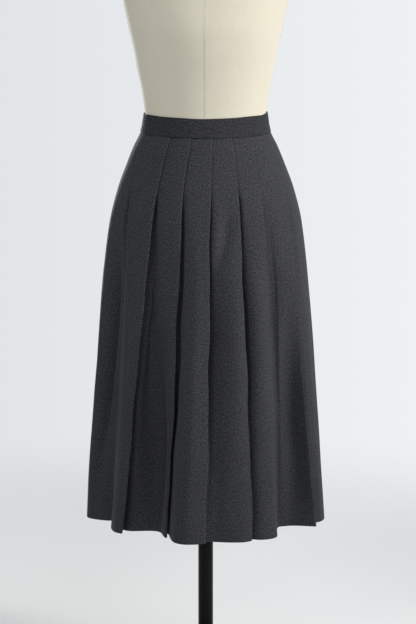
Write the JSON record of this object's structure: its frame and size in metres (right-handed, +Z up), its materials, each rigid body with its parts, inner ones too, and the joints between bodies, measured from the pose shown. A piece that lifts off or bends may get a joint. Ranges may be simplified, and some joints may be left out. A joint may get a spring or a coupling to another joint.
{
  "type": "pleated skirt on a limbless dress form",
  "caption": "Mid-calf knife-pleated wool skirt with a plain waistband, pleats sewn down over the hips and open below, worn by a plain dress form on a pole stand.",
  "frame": {"origin": "centre of the round base's underside, on the floor under the pole", "axes": "+Z up along the pole; the skirt's front faces -Y and the wearer's left side is +X"},
  "size_m": [0.4757, 0.434, 1.5743],
  "materials": {
    "skirt_wool": "brushed wool twill, heathered charcoal, matt",
    "band_wool": "the same wool, doubled and stiffened",
    "form_cover": "smooth cream jersey over a hard shell",
    "form_cap": "pale lacquered wood",
    "stand_collar": "black moulded plastic",
    "stand_pole": "black satin powder coat",
    "stand_base": "black satin powder coat"
  },
  "bodies": {
    "root": {"skirt_front": "skirt_wool", "skirt_back": "skirt_wool", "waistband_front": "band_wool", "waistband_back": "band_wool", "form_torso": "form_cover", "form_neck_cap": "form_cap", "stand_collar": "stand_collar", "stand_pole": "stand_pole", "stand_base": "stand_base"}
  },
  "joints": []
}
